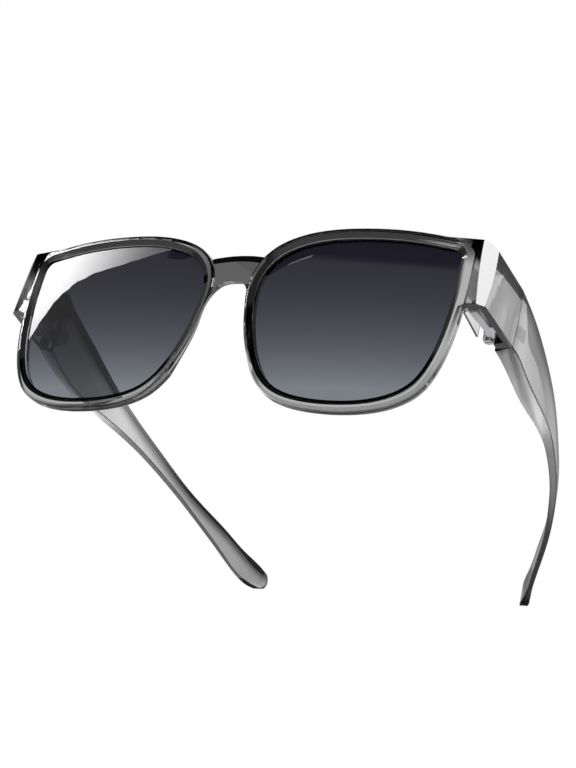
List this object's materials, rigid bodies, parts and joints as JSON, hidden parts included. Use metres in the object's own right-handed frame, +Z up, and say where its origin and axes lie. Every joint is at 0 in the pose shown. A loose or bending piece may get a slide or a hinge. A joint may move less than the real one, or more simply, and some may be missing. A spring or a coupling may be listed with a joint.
{
  "type": "fitover sunglasses",
  "caption": "Oversized fitover sunglasses with square tinted lenses in a clear grey full-rim frame, deep hollow end pieces and swept temples that fold on barrel hinges.",
  "frame": {"origin": "middle of the part's bounding box in X and Y, on the flat that the rims and temple tips stand on", "axes": "+X towards the wearer's left, -Y the way the lenses face, +Z up"},
  "size_m": [0.1568, 0.144, 0.0558],
  "materials": {
    "frame": "clear smoky grey, polished",
    "temple": "clear smoky grey, polished",
    "lens": "grey tint, darker at the top",
    "hinge": "plain steel"
  },
  "bodies": {
    "front": {"front_frame": "frame", "lens_left": "lens", "lens_right": "lens", "front_hinge_leaf_left": "hinge", "front_hinge_leaf_right": "hinge", "hinge_screw_left": "hinge", "hinge_screw_right": "hinge"},
    "temple_left": {"temple_left": "temple", "temple_hinge_leaf_left": "hinge"},
    "temple_right": {"temple_right": "temple", "temple_hinge_leaf_right": "hinge"}
  },
  "joints": [
    {"name": "left_temple_fold", "type": "hinge", "parent": "front", "child": "temple_left", "pos_m": [0.0709, -0.04804, 0.03832], "axis": [0, 0, 1], "range_deg": [0, 85]},
    {"name": "right_temple_fold", "type": "hinge", "parent": "front", "child": "temple_right", "pos_m": [-0.0709, -0.04804, 0.03832], "axis": [0, 0, -1], "range_deg": [0, 80]}
  ]
}
